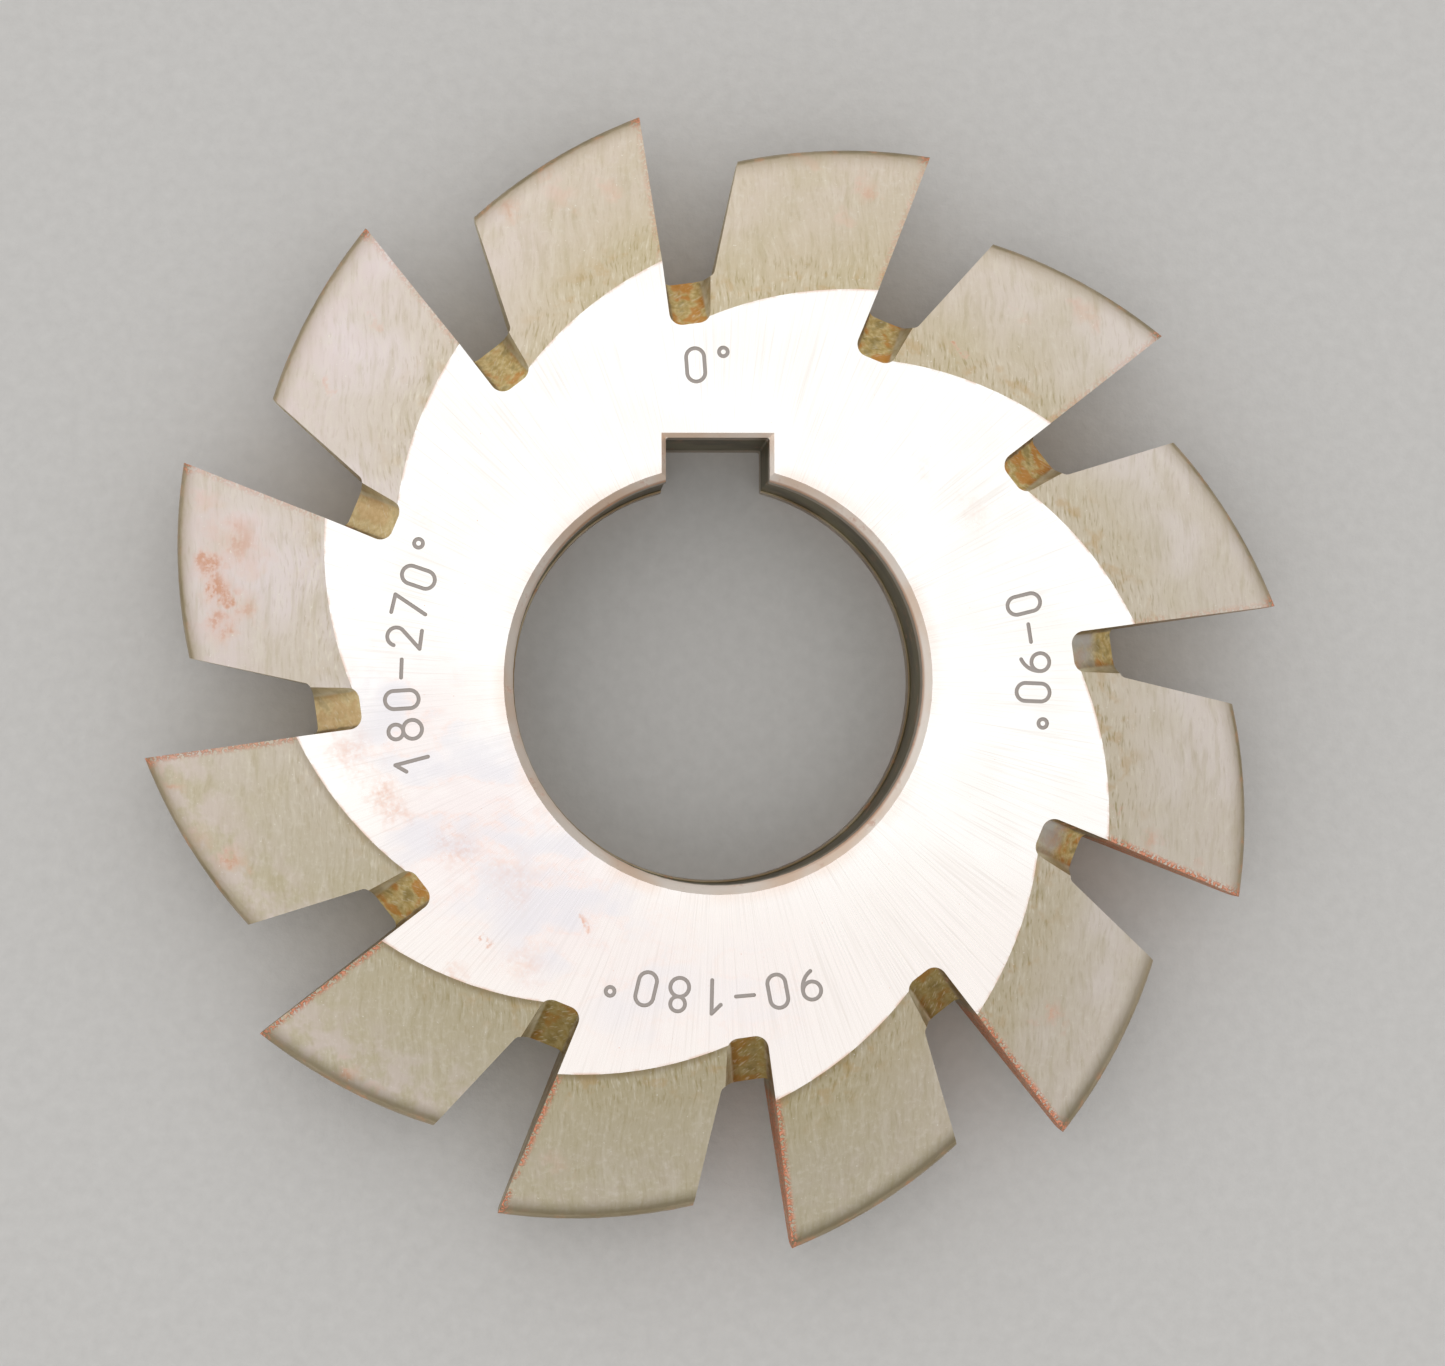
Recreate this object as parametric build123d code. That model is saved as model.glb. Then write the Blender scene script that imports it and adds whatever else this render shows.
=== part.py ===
"""Form-relieved disc cutter for gear teeth: one piece of high-speed steel with a keyed bore.

Frame: the bore axis is +Z, the marked side face is up, z = 0 is the lower side face, and the keyway is
toward +Y. Angles run clockwise from +Y, seen from above. The cutter turns clockwise seen from above, so
each tooth has its cutting face at its clockwise end and falls away (is relieved) behind it.
"""
from build123d import *
import math
import os

# ---- the gear tooth that this cutter mills (module gearing, 20 degree pressure angle)
MODULE = 5.5
PRESSURE_ANGLE = 20.0
GEAR_TEETH = 135                      # smallest gear of the cutter's range; its tooth gap is the profile
GEAR_DEDENDUM = MODULE * 7 / 6        # pitch line to the bottom of the tooth gap

# ---- body
OUTER_DIAMETER = 90.6
BODY_WIDTH = 13.4
MID_Z = BODY_WIDTH / 2
TOOTH_COUNT = 12
PITCH_ANGLE = 360 / TOOTH_COUNT
FIRST_FACE_ANGLE = -7.5               # cutting face of the tooth left of the keyway

# ---- tooth form
TIP_CORNER_RADIUS = 1.2
RELIEF_PER_PITCH = 5.8                # radial fall of the whole profile over one tooth pitch
RELIEF_END = 26.5                     # degrees behind the cutting face where the relieving tool leaves
SECTION_STEP = 5.5                    # degrees between the relief sections
FACE_OVERRUN = 1.0                    # degrees by which the form runs past the cutting face before it is cut
PROFILE_HALF_WIDTH_LIMIT = 8.0        # the flanks run on past the side faces, which then trim them
CORE_RADIUS = 20.0                    # inner end of the tooth sections, inside the hub
HUB_RADIUS = 27.5

# ---- chip gaps: one gash right across, and a deeper slanted slot in from each side face
GASH_ROOT_RADIUS = 31.45
GASH_ROOT_WIDTH = 3.93
GASH_ANGLE = 20.0                     # between the cutting face and the back of the next tooth
GASH_CORNER_RADIUS = 0.6
SLOT_ROOT_RADIUS = 27.77              # at the side faces; its floor climbs inward at 45 degrees
SLOT_ROOT_WIDTH = 3.05
SLOT_FLARE = 15.0
SLOT_CORNER_RADIUS = 1.0
SLOT_TOP_RADIUS = 36.0
ROOT_WEB_REACH = 2.4                  # hub corner that fills the root fillet beside the cutting face

# ---- bore, recess and keyway (plain arbor bore, 32 mm)
BORE_DIAMETER = 32.0
BORE_CHAMFER = 0.7
RECESS_DIAMETER = 32.4
BORE_LAND_LENGTH = 2.4                # ground land at each end of the bore, chamfer included
KEYWAY_WIDTH = 8.1
KEYWAY_HEIGHT = 34.9                  # from the far bore wall to the keyway floor
KEYWAY_CORNER_RADIUS = 0.2
KEYWAY_CHAMFER = 0.35

# ---- engraved dial numbers
MARK_HEIGHT = 2.6
MARK_STROKE = 0.3
MARK_DEPTH = 0.12
MARK_RADIUS = 24.6                    # bore axis to the middle of the figures
MARKS = (("0°", -1.5, 5.0), ("0-90°", 87.0, 5.4), ("90-180°", 181.5, 6.0), ("180-270°", 275.0, 5.6))

OUTER_RADIUS = OUTER_DIAMETER / 2
BORE_RADIUS = BORE_DIAMETER / 2


def profile_half_width(depth):
    """Half the width of the gear's tooth gap at this height above its bottom: an involute gap."""
    pitch_radius = MODULE * GEAR_TEETH / 2
    base_radius = pitch_radius * math.cos(math.radians(PRESSURE_ANGLE))
    radius = pitch_radius - GEAR_DEDENDUM + depth
    angle = math.acos(base_radius / radius)
    pitch_angle = math.radians(PRESSURE_ANGLE)
    involute = math.tan(angle) - angle
    involute_at_pitch = math.tan(pitch_angle) - pitch_angle
    return radius * (math.pi / (2 * GEAR_TEETH) + involute - involute_at_pitch)


def profile_depth(half_width):
    """Depth below the tip at which the profile is this wide, by bisection."""
    low, high = 0.0, 30.0
    for _ in range(50):
        middle = (low + high) / 2
        if profile_half_width(middle) < half_width:
            low = middle
        else:
            high = middle
    return low


def tooth_section(behind, drop):
    """Axial section of a tooth, this many degrees behind its cutting face and lowered by drop."""
    turn = math.radians(behind)
    plane = Plane(
        origin=(0, 0, MID_Z),
        x_dir=(-math.sin(turn), math.cos(turn), 0),
        z_dir=(math.cos(turn), math.sin(turn), 0),
    )
    tip = OUTER_RADIUS - drop
    full_depth = profile_depth(PROFILE_HALF_WIDTH_LIMIT)
    flank = [(tip - depth, profile_half_width(depth)) for depth in (0.0, full_depth / 2, full_depth)]
    mirrored = [(radius, -width) for radius, width in flank]
    outline = [
        Line(mirrored[0], flank[0]),
        ThreePointArc(*flank),
        Line(flank[2], (CORE_RADIUS, PROFILE_HALF_WIDTH_LIMIT)),
        Line((CORE_RADIUS, PROFILE_HALF_WIDTH_LIMIT), (CORE_RADIUS, -PROFILE_HALF_WIDTH_LIMIT)),
        Line((CORE_RADIUS, -PROFILE_HALF_WIDTH_LIMIT), mirrored[2]),
        ThreePointArc(*mirrored[::-1]),
    ]
    face = make_face(outline)
    tip_corners = face.vertices().sort_by(Axis.X)[-2:]
    return plane * fillet(tip_corners, TIP_CORNER_RADIUS)


def relief_drop(behind):
    return RELIEF_PER_PITCH * behind / PITCH_ANGLE


def relieved_tooth():
    """One tooth behind a cutting face on +Y: the profile falls evenly toward the axis as it runs back."""
    steps = round((RELIEF_END + FACE_OVERRUN) / SECTION_STEP)
    angles = [-FACE_OVERRUN + i * SECTION_STEP for i in range(steps + 1)]
    tooth = loft([tooth_section(angle, relief_drop(angle)) for angle in angles])
    web_section = tooth_section(angles[-1], relief_drop(angles[-1]) - ROOT_WEB_REACH)
    web = revolve(web_section, Axis.Z, PITCH_ANGLE - angles[-1])
    return tooth + web


def gash():
    """The gap cut right across the blank in front of a cutting face on +Y."""
    top = OUTER_RADIUS + 2
    spread = (top - GASH_ROOT_RADIUS) * math.tan(math.radians(GASH_ANGLE))
    outline = Polygon(
        (0, GASH_ROOT_RADIUS),
        (GASH_ROOT_WIDTH, GASH_ROOT_RADIUS),
        (GASH_ROOT_WIDTH + spread, top),
        (0, top),
        align=None,
    )
    outline = fillet(outline.vertices().sort_by(Axis.Y)[:2], GASH_CORNER_RADIUS)
    return Pos(0, 0, -1) * extrude(outline, BODY_WIDTH + 2)


def side_slot():
    """The deeper slot that enters from the upper side face and climbs to the gash at 45 degrees."""
    spread = (SLOT_TOP_RADIUS - SLOT_ROOT_RADIUS) * math.tan(math.radians(SLOT_FLARE))
    outline = Polygon(
        (0, SLOT_ROOT_RADIUS),
        (SLOT_ROOT_WIDTH, SLOT_ROOT_RADIUS),
        (SLOT_ROOT_WIDTH + spread, SLOT_TOP_RADIUS),
        (0, SLOT_TOP_RADIUS),
        align=None,
    )
    outline = fillet(outline.vertices().sort_by(Axis.Y)[:2], SLOT_CORNER_RADIUS)
    start = Pos(0, -1, BODY_WIDTH + 1) * outline
    depth = GASH_ROOT_RADIUS - SLOT_ROOT_RADIUS + 1.5
    return extrude(start, (depth + 1) * math.sqrt(2), dir=(0, 1, -1))


def chip_gap():
    slot = side_slot()
    return gash() + slot + mirror(slot, Plane.XY.offset(MID_Z))


def bore():
    """Bore with its two ground lands, the recess between them and the end chamfers."""
    recess_length = BODY_WIDTH - 2 * BORE_LAND_LENGTH
    hole = Pos(0, 0, MID_Z) * Cylinder(BORE_RADIUS, BODY_WIDTH + 2)
    hole += Pos(0, 0, MID_Z) * Cylinder(RECESS_DIAMETER / 2, recess_length)
    chamfer_run = BORE_CHAMFER + 0.5
    cone = Cone(BORE_RADIUS, BORE_RADIUS + chamfer_run, chamfer_run)
    upper = Pos(0, 0, BODY_WIDTH - BORE_CHAMFER + chamfer_run / 2) * cone
    return hole + upper + mirror(upper, Plane.XY.offset(MID_Z))


def keyway_outline(grow):
    top = KEYWAY_HEIGHT - BORE_RADIUS + grow
    half = KEYWAY_WIDTH / 2 + grow
    return Polygon((-half, 0), (half, 0), (half, top), (-half, top), align=None)


def keyway():
    """Keyway right through, with its edges broken at both side faces."""
    outline = keyway_outline(0)
    outline = fillet(outline.vertices().sort_by(Axis.Y)[-2:], KEYWAY_CORNER_RADIUS)
    slot = Pos(0, 0, -1) * extrude(outline, BODY_WIDTH + 2)
    run = KEYWAY_CHAMFER + 0.3
    start = Pos(0, 0, BODY_WIDTH + 0.3) * keyway_outline(run)
    upper = extrude(start, run, dir=(0, 0, -1), taper=45)
    return slot + upper + mirror(upper, Plane.XY.offset(MID_Z))


def ring(height, radius, centre_y):
    """Closed upright stroke: a circle, or two half circles joined by straight sides."""
    straight = height - 2 * radius
    outer, inner = radius + MARK_STROKE / 2, radius - MARK_STROKE / 2
    shape = Circle(outer) - Circle(inner)
    if straight > 0:
        tall = SlotOverall(straight + 2 * outer, 2 * outer, 90)
        shape = tall - SlotOverall(straight + 2 * inner, 2 * inner, 90)
    return Pos(0, centre_y) * shape


def stroke(start, end):
    """Straight stroke with round ends."""
    middle = ((start[0] + end[0]) / 2, (start[1] + end[1]) / 2)
    length = math.dist(start, end)
    angle = math.degrees(math.atan2(end[1] - start[1], end[0] - start[0]))
    return Pos(*middle) * SlotCenterToCenter(length, MARK_STROKE, angle)


def bent_stroke(radius, centre, start_angle, sweep):
    """Round stroke with round ends, about a centre."""
    arc = CenterArc(centre, radius, start_angle, sweep)
    return SlotArc(arc, MARK_STROKE)


def figure(sign):
    """One engraved figure, centred on the origin, with its top toward +Y."""
    half = MARK_HEIGHT / 2
    width = MARK_HEIGHT * 0.27
    if sign == "0":
        return ring(MARK_HEIGHT, width, 0)
    if sign == "1":
        return stroke((0, half), (0, -half)) + stroke((0, half), (-width, half - width))
    if sign == "2":
        bow = bent_stroke(width, (0, half - width), 170, -205)
        foot = (width * math.cos(math.radians(-35)), half - width + width * math.sin(math.radians(-35)))
        return bow + stroke(foot, (-width, -half)) + stroke((-width, -half), (width, -half))
    if sign == "7":
        return stroke((-width, half), (width, half)) + stroke((width, half), (-width * 0.4, -half))
    if sign == "8":
        upper = half * 0.44
        lower = half - upper
        return ring(2 * upper, upper, half - upper) + ring(2 * lower, lower, lower - half)
    if sign == "9":
        tail_radius = MARK_HEIGHT * 0.62
        tail = bent_stroke(tail_radius, (width - tail_radius, half - width), 0, -68)
        return ring(2 * width, width, half - width) + tail
    if sign == "°":
        small = MARK_HEIGHT * 0.13
        return ring(2 * small, small, half - small)
    return stroke((-width, 0), (width, 0))


def marks():
    """Dial numbers round the hub, tops outward, cut straight down into the upper face."""
    cuts = []
    for text, middle_angle, step in MARKS:
        for i, sign in enumerate(text):
            angle = middle_angle + (i - (len(text) - 1) / 2) * step
            placed = Rot(0, 0, -angle) * Pos(0, MARK_RADIUS, BODY_WIDTH - MARK_DEPTH) * figure(sign)
            cuts.append(extrude(placed, MARK_DEPTH + 0.2))
    return cuts


def around(shape):
    """The shape repeated at every cutting face."""
    return [Rot(0, 0, -FIRST_FACE_ANGLE - i * PITCH_ANGLE) * shape for i in range(TOOTH_COUNT)]


def gear_cutter():
    form = Pos(0, 0, MID_Z) * Cylinder(HUB_RADIUS, 2 * PROFILE_HALF_WIDTH_LIMIT)
    form = form + around(relieved_tooth())
    blank = Pos(0, 0, MID_Z) * Cylinder(OUTER_RADIUS + 1, BODY_WIDTH)
    cutter = blank & form
    cutter = cutter - around(chip_gap())
    cutter = cutter - bore() - keyway()
    return cutter - marks()


os.makedirs("parts", exist_ok=True)
part = gear_cutter()
export_step(part.solids()[0], "parts/gear_cutter.step")
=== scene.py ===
import math
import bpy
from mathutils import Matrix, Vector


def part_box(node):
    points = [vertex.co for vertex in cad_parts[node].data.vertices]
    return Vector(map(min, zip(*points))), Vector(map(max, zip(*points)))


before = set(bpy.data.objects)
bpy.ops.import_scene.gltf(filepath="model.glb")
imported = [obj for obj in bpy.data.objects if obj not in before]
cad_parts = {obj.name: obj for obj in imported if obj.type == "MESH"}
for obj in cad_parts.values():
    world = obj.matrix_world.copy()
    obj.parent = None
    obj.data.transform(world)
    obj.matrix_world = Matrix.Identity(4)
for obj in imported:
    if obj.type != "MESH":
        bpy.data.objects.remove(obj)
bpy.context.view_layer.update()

from types import SimpleNamespace

import bpy
from mathutils import Euler

# ---- the cutter's own measures, in millimetres and degrees clockwise from the keyway (+Y)
low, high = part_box("gear_cutter")
WIDTH = (high.z - low.z) * 1000
MID_Z = WIDTH / 2
TOOTH_PITCH = 30.0
FIRST_FACE = -7.5        # cutting face left of the keyway
RELIEF = 5.8             # fall of the tooth form over one pitch
TIP_RADIUS = 45.3
FORM_RADIUS = 33.0       # where the tooth form meets the side face, at the cutting face
RIM_DEPTH = TIP_RADIUS - FORM_RADIUS
BORE_RADIUS = 16.0
CHAMFER_RADIUS = 16.7
LAND_LENGTH = 2.4        # ground land at each end of the bore
KEYWAY_REACH = 20.0      # a radius just past the keyway's corners
SLOT_REACH = 27.5        # a radius just inside the slots at the side faces
MARK_BAND = (22.4, 26.8)     # radii between which the figures are engraved

# ---- the stage, in metres and degrees
FLOOR_GAP = 0.0001       # keeps the floor off the cutter's lower face
FLOOR_SIZE = 3.0
CAMERA_LENS = 81.92      # millimetres, on a sensor 36 mm wide
SENSOR_WIDTH = 36.0
CAMERA_PLACE = (-0.01386, -0.00584)
CAMERA_RISE = 0.25514    # above the upper side face
CAMERA_TILT = (-1.257, 3.171, 0.157)
OVERHEAD_HEIGHT = 0.9
OVERHEAD_SIZE = (0.9, 0.9)
OVERHEAD_POWER = 1.0
WINDOW_SIDE = (-0.57, 0.82, 0.25)    # toward the lightest part of the surroundings
WALL_LEVELS = (0.56, 0.96)           # strength away from the window side and toward it

# ---- rust blooms on the upper flanks: tooth, degrees behind its cutting face, millimetres below
# ---- the tip, radius in millimetres, strength
FLANK_BLOOMS = (
    (0, 16, 1.4, 1.1, 0.60), (0, 10, 3.2, 1.3, 0.45), (0, 4.5, 5.0, 0.9, 0.50), (0, 11, 0.4, 1.0, 0.70),
    (1, 5, 3.8, 1.1, 0.60), (1, 7, 6.2, 0.9, 0.40), (1, 12, 1.0, 0.7, 0.40),
    (2, 7.5, 2.3, 1.2, 0.50), (2, 16, 10.0, 0.4, 0.80), (2, 12, 5.5, 0.6, 0.30),
    (4, 2, 8.4, 1.0, 0.60), (4, 5, 11.8, 0.5, 0.60), (4, 1.5, 4.0, 0.6, 0.40),
    (5, 7.5, 6.6, 1.0, 0.70), (5, 5, 8.0, 0.5, 0.35),
    (7, 4, 4.6, 0.9, 0.35), (8, 9, 1.2, 1.2, 0.75), (8, 13, 1.0, 0.7, 0.45),
    (9, 3, 1.2, 1.0, 0.65), (9, 12.5, 2.3, 1.4, 0.75), (9, 9, 1.0, 1.2, 0.45),
    (10, 6, 5.2, 2.6, 0.65), (10, 3, 2.4, 1.2, 0.45), (10, 9.5, 3.0, 1.6, 0.90), (10, 12, 3.2, 1.6, 0.95),
    (10, 13.5, 5.2, 1.5, 0.65), (10, 16, 3.4, 1.7, 0.75), (10, 8.5, 6.2, 1.4, 0.45),
    (11, 15, 3.7, 0.5, 0.55), (11, 6, 5.0, 0.5, 0.45),
)
# ---- spots on the upper hub face, and clean metal in two of its slots: degrees, radius, size, strength
HUB_BLOOMS = (
    (259, 29.0, 2.0, 0.40), (252, 27.5, 1.6, 0.55), (248, 27.0, 1.5, 0.50), (237, 24.0, 1.8, 0.35),
    (266, 31.0, 1.2, 0.35), (226, 22.0, 2.4, 0.22), (215, 26.5, 1.6, 0.25), (222, 30.5, 1.2, 0.30),
    (223, 27.0, 0.35, 1.0), (209, 21.5, 0.3, 0.9), (45, 23.0, 1.4, 0.16), (57, 24.0, 1.5, 0.16),
    (275, 32.0, 1.0, 0.30), (300, 27.0, 1.2, 0.12),
)
HUB_WORN = ((240, 22, 9, 0.9), (218, 21, 8, 0.8), (262, 24, 7, 0.7), (196, 24, 8, 0.45), (175, 25, 7, 0.35))
CLEAN_FLOORS = ((84, 29, 3.0, 1.0), (114, 29, 3.0, 1.0))


class Graph:
    """Short names for the shader nodes of one material."""

    def __init__(self, name):
        self.material = bpy.data.materials.new(name)
        self.material.use_nodes = True
        self.tree = self.material.node_tree
        self.tree.nodes.clear()

    def node(self, kind, settings=None, **inputs):
        made = self.tree.nodes.new(kind)
        for key, value in (settings or {}).items():
            setattr(made, key, value)
        for key, value in inputs.items():
            self.feed(made.inputs[key.replace("_", " ")], value)
        return made

    def feed(self, socket, value):
        if isinstance(value, bpy.types.NodeSocket):
            self.tree.links.new(value, socket)
        elif value is not None:
            socket.default_value = value

    def math(self, operation, a, b=None, c=None):
        made = self.tree.nodes.new("ShaderNodeMath")
        made.operation = operation
        for socket, value in zip(made.inputs, (a, b, c)):
            self.feed(socket, value)
        return made.outputs[0]

    def add(self, a, b):
        return self.math("ADD", a, b)

    def sub(self, a, b):
        return self.math("SUBTRACT", a, b)

    def mul(self, *values):
        result = values[0]
        for value in values[1:]:
            result = self.math("MULTIPLY", result, value)
        return result

    def most(self, *values):
        result = values[0]
        for value in values[1:]:
            result = self.math("MAXIMUM", result, value)
        return result

    def without(self, mask):
        return self.math("SUBTRACT", 1.0, mask)

    def ramp(self, value, start, end, low=0.0, high=1.0):
        """Smooth step from low to high as value goes from start to end."""
        made = self.node("ShaderNodeMapRange", {"interpolation_type": "SMOOTHSTEP"})
        for socket, number in zip(made.inputs[:5], (value, start, end, low, high)):
            self.feed(socket, number)
        return made.outputs[0]

    def inside(self, value, start, end, soft):
        """1 where value lies between start and end, with soft borders."""
        rise = self.ramp(value, start - soft, start + soft)
        fall = self.ramp(value, end - soft, end + soft, 1.0, 0.0)
        return self.mul(rise, fall)

    def vector(self, x, y, z):
        made = self.node("ShaderNodeCombineXYZ")
        for socket, value in zip(made.inputs, (x, y, z)):
            self.feed(socket, value)
        return made.outputs[0]

    def split(self, vector):
        return self.node("ShaderNodeSeparateXYZ", None, Vector=vector).outputs

    def noise(self, vector, scale=1.0, detail=3.0, roughness=0.5, distortion=0.0):
        made = self.node("ShaderNodeTexNoise", None, Vector=vector, Scale=scale, Detail=detail,
                         Roughness=roughness, Distortion=distortion)
        return made.outputs["Fac"]

    def blend(self, factor, a, b):
        made = self.node("ShaderNodeMix", {"data_type": "RGBA"})
        for socket, value in ((made.inputs[0], factor), (made.inputs[6], a), (made.inputs[7], b)):
            self.feed(socket, value)
        return made.outputs[2]

    def blend_number(self, factor, a, b):
        made = self.node("ShaderNodeMix", {"data_type": "FLOAT"})
        for socket, value in ((made.inputs[0], factor), (made.inputs[2], a), (made.inputs[3], b)):
            self.feed(socket, value)
        return made.outputs[0]

    def finished(self, shader):
        """The material, with this shader as its surface."""
        out = self.node("ShaderNodeOutputMaterial")
        self.tree.links.new(shader.outputs[0], out.inputs[0])
        return self.material


def colour(red, green, blue):
    """Screen colour, 0 to 255, as a linear shader colour."""
    parts = [c / 255 for c in (red, green, blue)]
    return [c / 12.92 if c <= 0.04045 else ((c + 0.055) / 1.055) ** 2.4 for c in parts] + [1.0]


def cutter_space(g):
    """The shading point in the cutter's own measures, with the noises that all its surfaces share."""
    coords = g.node("ShaderNodeTexCoord")
    metres = coords.outputs["Object"]
    place = g.node("ShaderNodeVectorMath", {"operation": "SCALE"}, Vector=metres, Scale=1000.0).outputs[0]
    x, y, z = g.split(place)
    nx, ny, nz = g.split(coords.outputs["Normal"])
    radius = g.math("SQRT", g.add(g.mul(x, x), g.mul(y, y)))
    angle = g.math("DEGREES", g.math("ARCTAN2", x, y))
    behind = g.math("FLOORED_MODULO", g.sub(FIRST_FACE, angle), TOOTH_PITCH)
    level = g.add(radius, g.mul(behind, RELIEF / TOOTH_PITCH))
    return SimpleNamespace(
        place=place, x=x, y=y, z=z, radius=radius, angle=angle, behind=behind,
        below=g.sub(TIP_RADIUS, level), up=g.math("ABSOLUTE", nz),
        outward=g.math("DIVIDE", g.add(g.mul(nx, x), g.mul(ny, y)), radius),
        forward=g.math("DIVIDE", g.sub(g.mul(nx, y), g.mul(ny, x)), radius),
        # painted shade: weights the olive flank tone and the darker flank foot toward the lower side, away
        # from the window light
        shaded_lower_left=g.ramp(g.add(g.mul(x, 0.5), g.mul(y, 0.87)), -8.0, -32.0),
        upper=g.ramp(z, MID_Z - 0.4, MID_Z + 0.4), off_middle=g.math("ABSOLUTE", g.sub(z, MID_Z)),
        to_face=g.mul(radius, g.math("RADIANS", behind)),
        cloud=g.noise(place, 0.17, 2.0, 0.5), patch=g.noise(place, 0.55, 3.0, 0.6),
        grain=g.noise(place, 2.3, 3.0, 0.65), crumbs=g.noise(place, 4.2, 1.0, 0.5))


def soft_spots(g, at, centres):
    """Largest of the soft round stains, each centre given as x, y, radius and strength."""
    sway = g.math("MULTIPLY_ADD", g.sub(at.grain, 0.5), 1.2, g.mul(g.sub(at.patch, 0.5), 4.0))
    shifted = g.vector(g.add(at.x, sway), g.add(at.y, g.mul(g.sub(at.patch, 0.5), -5.0)), 0.0)
    result = None
    for x, y, size, strength in centres:
        gap = g.node("ShaderNodeVectorMath", {"operation": "DISTANCE"}, Vector=shifted)
        gap.inputs[1].default_value = (x, y, 0)
        mask = g.ramp(gap.outputs["Value"], size * 1.3, size * 0.1, 0.0, strength)
        result = mask if result is None else g.most(result, mask)
    return g.mul(result, at.upper)


def flank_centres():
    """The flank blooms as x, y, radius and strength."""
    for tooth, behind, below, size, strength in FLANK_BLOOMS:
        turn = math.radians(FIRST_FACE + TOOTH_PITCH * tooth - behind)
        radius = TIP_RADIUS - below - RELIEF * behind / TOOTH_PITCH
        yield radius * math.sin(turn), radius * math.cos(turn), size, strength


def hub_centres(spots):
    """Spots given by degrees and radius, as x, y, radius and strength."""
    for degrees, radius, size, strength in spots:
        turn = math.radians(degrees)
        yield radius * math.sin(turn), radius * math.cos(turn), size, strength


def look(tint, rough, height, metal=1.0):
    """What one surface gives the shader."""
    return SimpleNamespace(tint=tint, rough=rough, height=height, metal=metal)


def hub_face(g, at):
    """Ground side face: near white, fine radial grinding lines, faint stains, engraved figures."""
    lines = g.noise(g.vector(g.mul(at.angle, 3.2), g.mul(at.radius, 0.10), at.upper), 1.0, 3.0, 0.6)
    tint = g.blend(g.ramp(at.cloud, 0.35, 0.7), colour(250, 248, 245), colour(245, 241, 236))
    tint = g.blend(g.ramp(at.y, -6.0, -22.0), tint, colour(237, 230, 225))
    tint = g.blend(g.mul(g.ramp(lines, 0.50, 0.72), 0.30), tint, colour(214, 205, 195))
    worn = soft_spots(g, at, hub_centres(HUB_WORN))
    tint = g.blend(g.mul(worn, 0.9), tint, colour(232, 221, 219))
    ripple = g.noise(g.vector(g.mul(at.x, 0.16), g.mul(at.y, 0.26), 4.0), 1.0, 2.0, 0.6)
    blue = g.mul(g.ramp(ripple, 0.40, 0.60), g.ramp(worn, 0.1, 0.7))
    tint = g.blend(g.mul(blue, 0.50), tint, colour(216, 216, 223))
    contour = g.ramp(g.math("ABSOLUTE", g.sub(ripple, 0.47)), 0.06, 0.0)
    salmon = g.mul(contour, g.ramp(at.grain, 0.35, 0.65), worn)
    tint = g.blend(g.mul(salmon, 0.38), tint, colour(242, 204, 186))
    bloom = g.mul(soft_spots(g, at, hub_centres(HUB_BLOOMS)), g.ramp(at.grain, 0.25, 0.70))
    tint = g.blend(bloom, tint, colour(240, 186, 160))
    specks = g.ramp(at.crumbs, 0.80, 0.84)
    tint = g.blend(g.mul(specks, 0.6), tint, colour(210, 150, 120))
    halo = g.mul(g.ramp(at.radius, CHAMFER_RADIUS + 1.2, CHAMFER_RADIUS), g.ramp(at.cloud, 0.3, 0.6))
    tint = g.blend(g.mul(halo, 0.3), tint, colour(230, 194, 168))
    rim = g.mul(g.ramp(at.below, RIM_DEPTH + 0.30, RIM_DEPTH + 0.02), g.ramp(at.patch, 0.40, 0.58),
                g.ramp(at.behind, 23.5, 22.5))
    tint = g.blend(g.mul(rim, 0.6), tint, colour(205, 156, 122))
    cut = g.mul(g.ramp(at.off_middle, MID_Z - 0.03, MID_Z - 0.09), g.inside(at.radius, *MARK_BAND, 0.05))
    tint = g.blend(cut, tint, colour(176, 168, 163))
    rough = g.blend_number(g.ramp(lines, 0.4, 0.7), 0.26, 0.36)
    rough = g.blend_number(g.most(bloom, cut), rough, 0.55)
    height = g.mul(g.sub(lines, 0.5), 0.006)
    return look(tint, rough, height, g.sub(1.0, g.mul(bloom, 0.5)))


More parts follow.
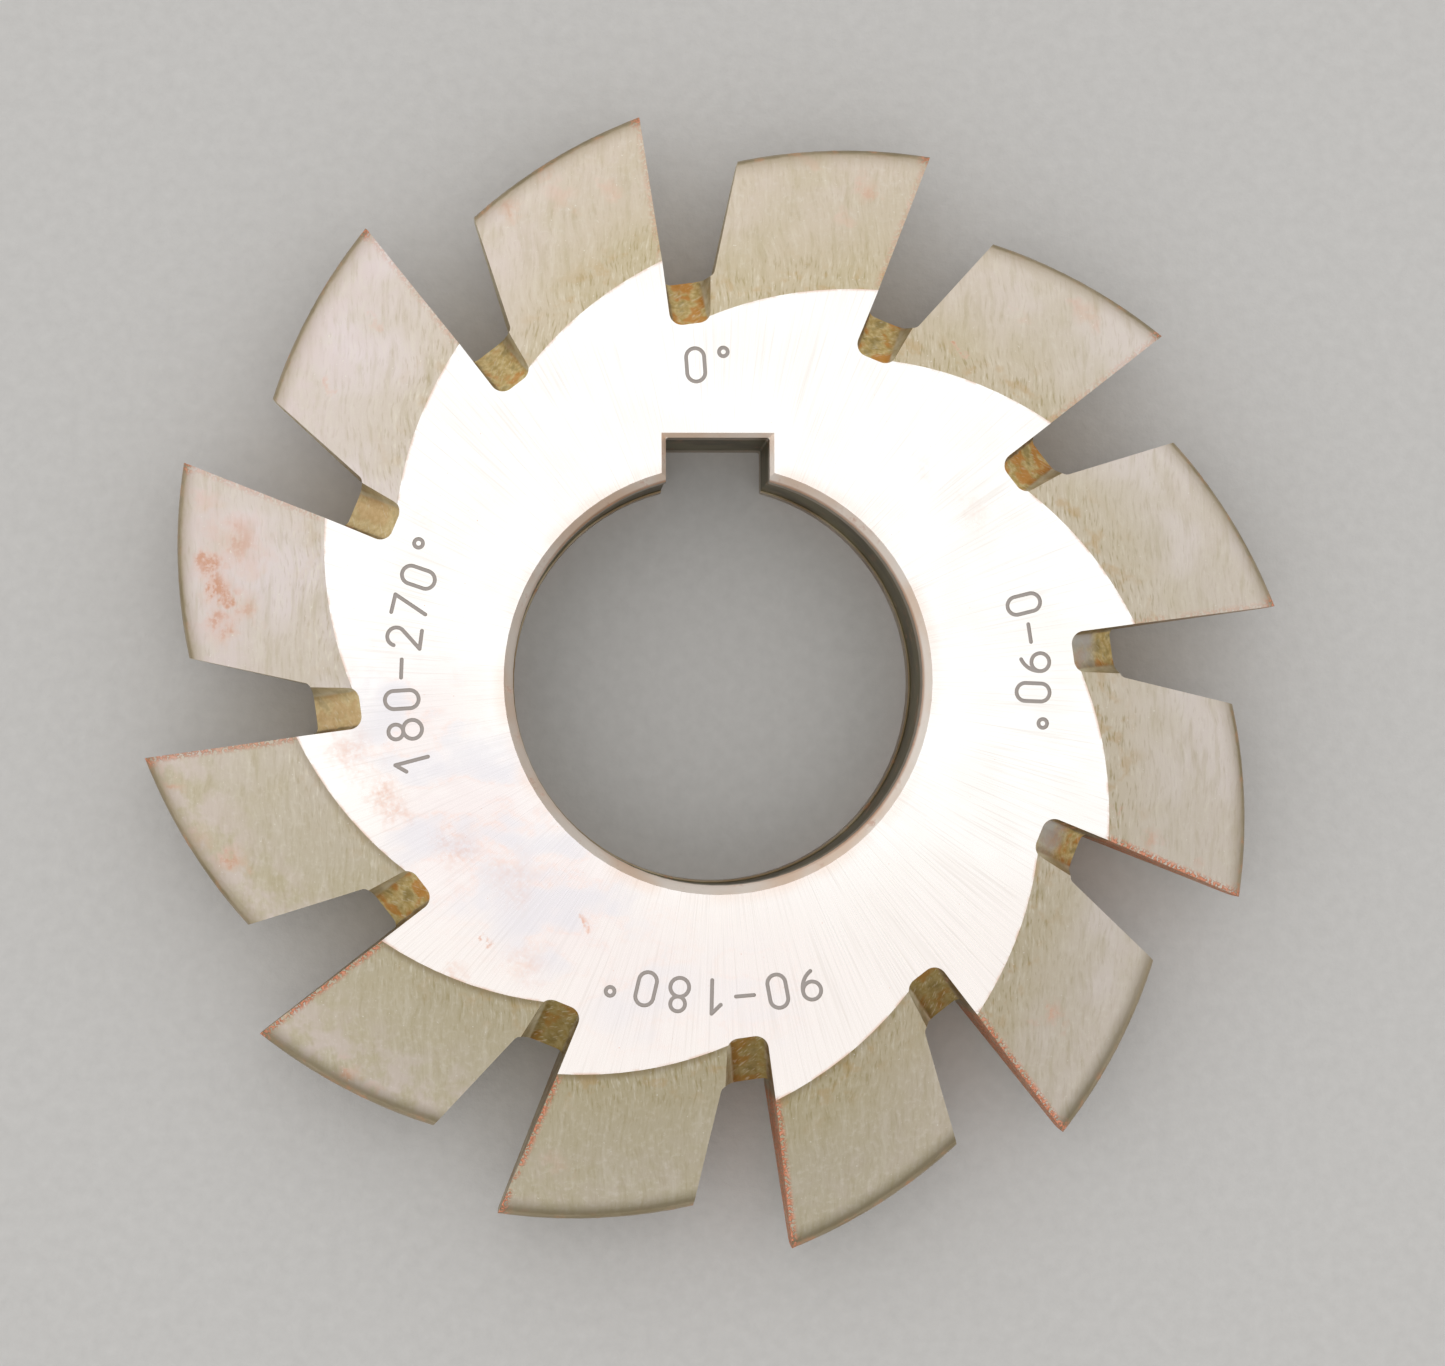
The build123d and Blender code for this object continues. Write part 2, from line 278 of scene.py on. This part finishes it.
def flank(g, at):
    """Form-ground flank: tan steel with rubbed streaks, olive at its foot, pink and rusty to the tip; its
    tone by side is painted light and shade, with painted shade at its foot and toward the tip rim.
    """
    sway = g.mul(g.sub(at.cloud, 0.5), 1.6)
    across = g.add(at.x, sway)
    hairs = g.noise(g.vector(g.mul(across, 4.4), g.mul(at.y, 0.75), at.upper), 1.0, 2.0, 0.6)
    streaks = g.noise(g.vector(g.mul(across, 1.5), g.mul(at.y, 0.22), at.upper), 1.0, 2.0, 0.6)
    # painted light and shade: the flank tone follows the window light by side, lighter and pinker toward -X,
    # a little lighter toward +X, olive toward the lower side
    left = g.ramp(at.x, -8.0, -30.0)
    right = g.ramp(at.x, 12.0, 34.0)
    tint = g.blend(left, colour(218, 204, 184), colour(235, 223, 220))
    tint = g.blend(right, tint, colour(231, 220, 210))
    tint = g.blend(at.shaded_lower_left, tint, colour(206, 195, 170))
    tint = g.blend(g.mul(g.ramp(at.cloud, 0.40, 0.62), 0.35), tint, colour(204, 192, 160))
    tint = g.blend(g.mul(g.ramp(at.grain, 0.48, 0.72), 0.30), tint, colour(236, 229, 217))
    foot = g.ramp(at.below, 4.5, 12.0)
    close = g.ramp(at.below, 7.5, RIM_DEPTH)
    # the olive foot and the yellowing near the tip are weaker on the lit side toward -X: painted light
    tint = g.blend(g.mul(foot, g.sub(0.40, g.mul(left, 0.3))), tint, colour(200, 184, 138))
    tint = g.blend(g.mul(g.ramp(streaks, 0.50, 0.72), 0.25), tint, colour(178, 164, 120))
    tint = g.blend(g.mul(g.ramp(streaks, 0.46, 0.30), 0.20), tint, colour(240, 232, 216))
    yellowed = g.mul(close, g.sub(1.0, g.mul(left, 0.7)))
    dark = g.mul(g.ramp(hairs, 0.53, 0.70), g.add(0.16, g.mul(yellowed, 0.45)))
    tint = g.blend(dark, tint, colour(160, 142, 88))
    light = g.mul(g.ramp(hairs, 0.45, 0.30), g.add(0.14, g.mul(close, 0.34)))
    tint = g.blend(light, tint, colour(242, 234, 216))
    stained = g.mul(yellowed, g.ramp(at.patch, 0.52, 0.68))
    tint = g.blend(g.mul(stained, 0.45), tint, colour(200, 164, 108))
    # painted shade: a darker brown band where the flank meets the hub face, on the lower side
    painted_foot_shade = g.mul(g.ramp(at.below, RIM_DEPTH - 0.7, RIM_DEPTH), at.shaded_lower_left)
    tint = g.blend(g.mul(painted_foot_shade, 0.6), tint, colour(140, 118, 80))
    # pink stain near the tip, made stronger on the lit side toward -X as painted light
    pink = g.mul(g.ramp(at.patch, 0.36, 0.64), g.ramp(at.below, 9.0, 1.5), g.add(0.22, g.mul(left, 0.6)))
    tint = g.blend(g.mul(pink, 0.70), tint, colour(230, 214, 211))
    bloom = soft_spots(g, at, flank_centres())
    hidden = g.mul(g.ramp(at.patch, 0.62, 0.76), g.ramp(at.below, 9.0, 1.0), g.without(at.upper))
    bloom = g.most(bloom, hidden)
    ragged = g.ramp(g.add(at.grain, g.mul(g.sub(streaks, 0.5), 0.7)), 0.34, 0.60)
    core = g.mul(g.ramp(bloom, 0.40, 0.95), ragged)
    tint = g.blend(g.mul(bloom, 0.70), tint, colour(232, 194, 174))
    tint = g.blend(g.mul(core, 0.65), tint, colour(214, 152, 114))
    pits = g.ramp(at.crumbs, 0.74, 0.80)
    tint = g.blend(g.mul(pits, 0.6), tint, colour(244, 238, 226))
    # painted shade: the flank darkens over its last two millimetres before the rounded tip, more on the
    # lower side
    shaded_low_side = g.ramp(at.y, -14.0, -34.0)
    painted_rim_shade = g.mul(g.ramp(at.below, 1.9, 0.1), g.add(0.50, g.mul(shaded_low_side, 0.42)))
    tint = g.blend(painted_rim_shade, tint, g.blend(shaded_low_side, colour(158, 141, 114), colour(120, 107, 76)))
    rough = g.blend_number(g.ramp(at.grain, 0.4, 0.65), 0.34, 0.44)
    rough = g.blend_number(core, rough, 0.8)
    height = g.add(g.mul(g.sub(hairs, 0.5), 0.010), g.mul(g.sub(at.grain, 0.5), 0.010))
    return look(tint, rough, height, g.sub(1.0, g.mul(core, 0.8)))


def tip_land(g, at):
    """Rounded tip and its land: fine lines along the rim, olive film and patches of rust."""
    turned = g.noise(g.vector(g.mul(at.z, 5.0), g.mul(at.to_face, 0.25), 0.0), 1.0, 2.0, 0.6)
    tint = g.blend(g.ramp(at.cloud, 0.35, 0.65), colour(160, 145, 114), colour(184, 168, 140))
    tint = g.blend(g.mul(g.ramp(turned, 0.42, 0.66), 0.35), tint, colour(206, 193, 168))
    tint = g.blend(g.mul(g.ramp(at.grain, 0.50, 0.72), 0.25), tint, colour(132, 116, 84))
    rust = g.mul(g.ramp(at.patch, 0.50, 0.68), g.ramp(at.grain, 0.30, 0.62))
    tint = g.blend(g.mul(rust, 0.60), tint, colour(200, 142, 104))
    height = g.add(g.mul(at.grain, 0.012), g.mul(turned, 0.004))
    return look(tint, g.blend_number(rust, 0.42, 0.75), height, g.sub(1.0, g.mul(rust, 0.7)))


def gash_floor(g, at):
    """Milled floor of the gap and the sloped side slots: mottled gold, olive and brown, scratched."""
    mottle = g.noise(at.place, 0.62, 2.0, 0.55)
    lengthwise = g.vector(g.mul(at.radius, 1.1), g.mul(g.add(at.to_face, at.radius), 4.0), at.angle)
    scratch = g.noise(lengthwise, 1.0, 1.0, 0.5)
    pale = g.mul(g.ramp(at.x, -12.0, -27.0), g.ramp(at.y, -17.0, -8.0))
    tint = g.blend(g.ramp(at.grain, 0.30, 0.70), colour(200, 172, 104), colour(230, 210, 156))
    rusty = g.mul(g.ramp(mottle, 0.47, 0.60), g.sub(0.75, g.mul(pale, 0.45)))
    tint = g.blend(rusty, tint, colour(212, 142, 58))
    tint = g.blend(g.mul(g.ramp(mottle, 0.44, 0.32), 0.60), tint, colour(156, 138, 84))
    tint = g.blend(g.mul(pale, 0.40), tint, colour(236, 214, 176))
    tint = g.blend(g.mul(g.ramp(at.y, -13.0, -26.0), 0.60), tint, colour(118, 98, 40))
    tint = g.blend(g.mul(g.ramp(scratch, 0.60, 0.70), 0.35), tint, colour(240, 230, 204))
    clean = g.mul(soft_spots(g, at, hub_centres(CLEAN_FLOORS)), g.ramp(at.radius, 30.4, 29.4))
    tint = g.blend(g.mul(clean, 0.9), tint, colour(196, 192, 186))
    return look(tint, g.blend_number(clean, 0.50, 0.38), g.mul(at.grain, 0.022), 0.85)


def gap_wall(g, at):
    """Backs of the teeth in pale olive steel painted lighter as lit, cutting faces painted darker brown as
    shade, and rust on both.
    """
    # painted light and shade: lit and shaded copies of one steel, paler on the backs of the teeth and darker
    # brown on the cutting faces
    back = g.blend(g.ramp(at.patch, 0.35, 0.62), colour(226, 216, 186), colour(196, 182, 142))
    face = g.blend(g.ramp(at.patch, 0.35, 0.62), colour(188, 174, 146), colour(154, 136, 104))
    front = g.ramp(at.forward, -0.3, 0.3)
    tint = g.blend(front, back, face)
    tint = g.blend(g.mul(g.ramp(at.grain, 0.5, 0.7), 0.35), tint, colour(214, 202, 178))
    rust = g.mul(g.ramp(at.patch, 0.54, 0.68), g.ramp(at.grain, 0.38, 0.60), g.add(0.35, g.mul(front, 0.20)))
    tint = g.blend(rust, tint, colour(184, 112, 70))
    metal = g.mul(g.blend_number(front, 0.5, 1.0), g.sub(1.0, g.mul(rust, 0.9)))
    return look(tint, g.blend_number(rust, 0.46, 0.85), g.mul(at.grain, 0.014), metal)


def bore_wall(g, at):
    """Chamfer, ground lands and the turned recess between them, with painted shade in the recess and along
    the chamfer's inner edge.
    """
    land = g.blend(g.ramp(at.cloud, 0.35, 0.65), colour(176, 162, 138), colour(150, 128, 100))
    # painted shade: the recess between the lands is coloured darker olive than the lands
    recess = g.blend(g.ramp(at.cloud, 0.35, 0.65), colour(120, 112, 84), colour(90, 82, 60))
    deep = g.mul(g.ramp(at.radius, BORE_RADIUS + 0.08, BORE_RADIUS + 0.16),
                 g.ramp(at.off_middle, MID_Z - LAND_LENGTH + 0.2, MID_Z - LAND_LENGTH))
    tint = g.blend(deep, land, recess)
    slope = g.mul(g.inside(at.up, 0.4, 0.9, 0.1), g.ramp(at.radius, BORE_RADIUS - 0.1, BORE_RADIUS + 0.02))
    chamfer = g.blend(g.ramp(at.cloud, 0.35, 0.65), colour(250, 240, 230), colour(242, 216, 194))
    tint = g.blend(slope, tint, chamfer)
    # painted shade: a brown band along the chamfer's inner edge, weaker on the bright side
    inner_edge_shade = g.mul(slope, g.ramp(at.radius, BORE_RADIUS + 0.22, BORE_RADIUS + 0.04))
    bright_side = g.ramp(g.add(at.x, at.y), 2.0, -15.0)
    tint = g.blend(g.mul(inner_edge_shade, g.sub(0.7, g.mul(bright_side, 0.6))), tint, colour(176, 126, 88))
    rust = g.mul(g.ramp(at.patch, 0.56, 0.7), g.ramp(at.grain, 0.42, 0.6))
    tint = g.blend(g.mul(rust, 0.5), tint, colour(190, 124, 84))
    return look(tint, g.blend_number(deep, 0.32, 0.5), g.mul(at.grain, 0.006), g.sub(1.0, g.mul(rust, 0.6)))


def edge_rust(g, at):
    """Mask of the crumbly rust at every tip and along the cutting edges, most of it toward -Y."""
    beyond_hub = g.ramp(at.radius, FORM_RADIUS - 0.6, FORM_RADIUS + 0.6)
    near_face = g.mul(g.ramp(at.to_face, 0.65, 0.12), beyond_hub, g.ramp(at.y, 4.0, -14.0, 0.25, 1.0))
    line = g.mul(near_face, g.ramp(at.crumbs, 0.40, 0.52), g.ramp(at.patch, 0.30, 0.46))
    tip = g.mul(g.ramp(at.to_face, 1.1, 0.1), g.ramp(at.below, 1.3, 0.2), g.ramp(at.crumbs, 0.40, 0.54))
    return g.most(line, tip)


def tool_steel():
    """One material that gives each of the cutter's surfaces its own look, by place and normal."""
    g = Graph("tool_steel_surface")
    at = cutter_space(g)
    face_mask = g.mul(g.ramp(at.up, 0.985, 0.995), g.ramp(at.off_middle, MID_Z - 0.4, MID_Z - 0.3))
    in_bore = g.mul(g.ramp(at.radius, KEYWAY_REACH + 0.5, KEYWAY_REACH), g.without(face_mask))
    in_gap = g.mul(g.ramp(at.outward, 0.5, 0.62), g.ramp(at.radius, FORM_RADIUS + 0.2, FORM_RADIUS - 0.4))
    on_flank = g.mul(g.ramp(at.up, 0.55, 0.8), g.ramp(at.radius, SLOT_REACH, SLOT_REACH + 0.5))
    on_tip = g.mul(g.ramp(at.up, 0.945, 0.60), g.ramp(at.outward, 0.28, 0.45), g.ramp(at.below, 3.0, 2.4))
    now = gap_wall(g, at)
    for mask, surface in ((on_flank, flank(g, at)), (in_gap, gash_floor(g, at)), (on_tip, tip_land(g, at)),
                          (in_bore, bore_wall(g, at)), (face_mask, hub_face(g, at))):
        now.tint = g.blend(mask, now.tint, surface.tint)
        now.rough = g.blend_number(mask, now.rough, surface.rough)
        now.height = g.blend_number(mask, now.height, surface.height)
        now.metal = g.blend_number(mask, now.metal, surface.metal)
    rust = edge_rust(g, at)
    crumb_tint = g.blend(g.ramp(at.crumbs, 0.45, 0.70), colour(190, 112, 76), colour(230, 156, 124))
    now.tint = g.blend(rust, now.tint, crumb_tint)
    now.rough = g.blend_number(rust, now.rough, 0.9)
    now.metal = g.mul(now.metal, g.without(rust))
    now.height = g.add(now.height, g.mul(rust, 0.05))
    bump = g.node("ShaderNodeBump", None, Strength=1.0, Distance=0.001, Height=now.height)
    shader = g.node("ShaderNodeBsdfPrincipled", None, Base_Color=now.tint, Roughness=now.rough,
                    Metallic=now.metal, Normal=bump.outputs[0])
    return g.finished(shader)


def camera():
    """Camera almost straight above the upper side face."""
    data = bpy.data.cameras.new("camera")
    data.sensor_width = SENSOR_WIDTH
    data.lens = CAMERA_LENS
    made = bpy.data.objects.new("camera", data)
    made.location = (*CAMERA_PLACE, high.z + CAMERA_RISE)
    to_camera = Euler([math.radians(turn) for turn in CAMERA_TILT], "XYZ").to_matrix()
    made.rotation_euler = to_camera.transposed().to_euler()
    bpy.context.scene.collection.objects.link(made)
    bpy.context.scene.camera = made


def floor():
    """Plain pale floor under the cutter."""
    bpy.ops.mesh.primitive_plane_add(size=FLOOR_SIZE, location=(0, 0, low.z - FLOOR_GAP))
    made = bpy.context.object
    made.name = "floor"
    g = Graph("floor_surface")
    place = g.node("ShaderNodeTexCoord").outputs["Object"]
    fibre = g.noise(place, 900.0, 4.0, 0.6)
    tint = g.blend(fibre, colour(196, 194, 191), colour(212, 210, 207))
    bump = g.node("ShaderNodeBump", None, Strength=0.3, Distance=0.0002, Height=fibre)
    shader = g.node("ShaderNodeBsdfPrincipled", None, Base_Color=tint, Roughness=0.9, Normal=bump.outputs[0])
    made.data.materials.append(g.finished(shader))


def overhead_light():
    """Soft square light that shines straight down."""
    data = bpy.data.lights.new("overhead", "AREA")
    data.shape = "RECTANGLE"
    data.size, data.size_y = OVERHEAD_SIZE
    data.energy = OVERHEAD_POWER
    made = bpy.data.objects.new("overhead", data)
    made.location = (0, 0, OVERHEAD_HEIGHT)
    bpy.context.scene.collection.objects.link(made)


def studio_walls():
    """Grey surroundings, lighter toward the window side."""
    world = bpy.data.worlds.new("world")
    world.use_nodes = True
    tree = world.node_tree
    coords = tree.nodes.new("ShaderNodeTexCoord")
    facing = tree.nodes.new("ShaderNodeVectorMath")
    facing.operation = "DOT_PRODUCT"
    facing.inputs[1].default_value = WINDOW_SIDE
    tree.links.new(coords.outputs["Generated"], facing.inputs[0])
    level = tree.nodes.new("ShaderNodeMapRange")
    for socket, value in zip(level.inputs[1:5], (-1.0, 1.0, *WALL_LEVELS)):
        socket.default_value = value
    tree.links.new(facing.outputs["Value"], level.inputs[0])
    tree.links.new(level.outputs[0], tree.nodes["Background"].inputs[1])
    tree.nodes["Background"].inputs[0].default_value = (1, 1, 1, 1)
    bpy.context.scene.world = world


bpy.context.scene.view_settings.view_transform = "Standard"
camera()
floor()
overhead_light()
studio_walls()
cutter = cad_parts["gear_cutter"]
cutter.material_slots[0].link = "OBJECT"
cutter.material_slots[0].material = tool_steel()
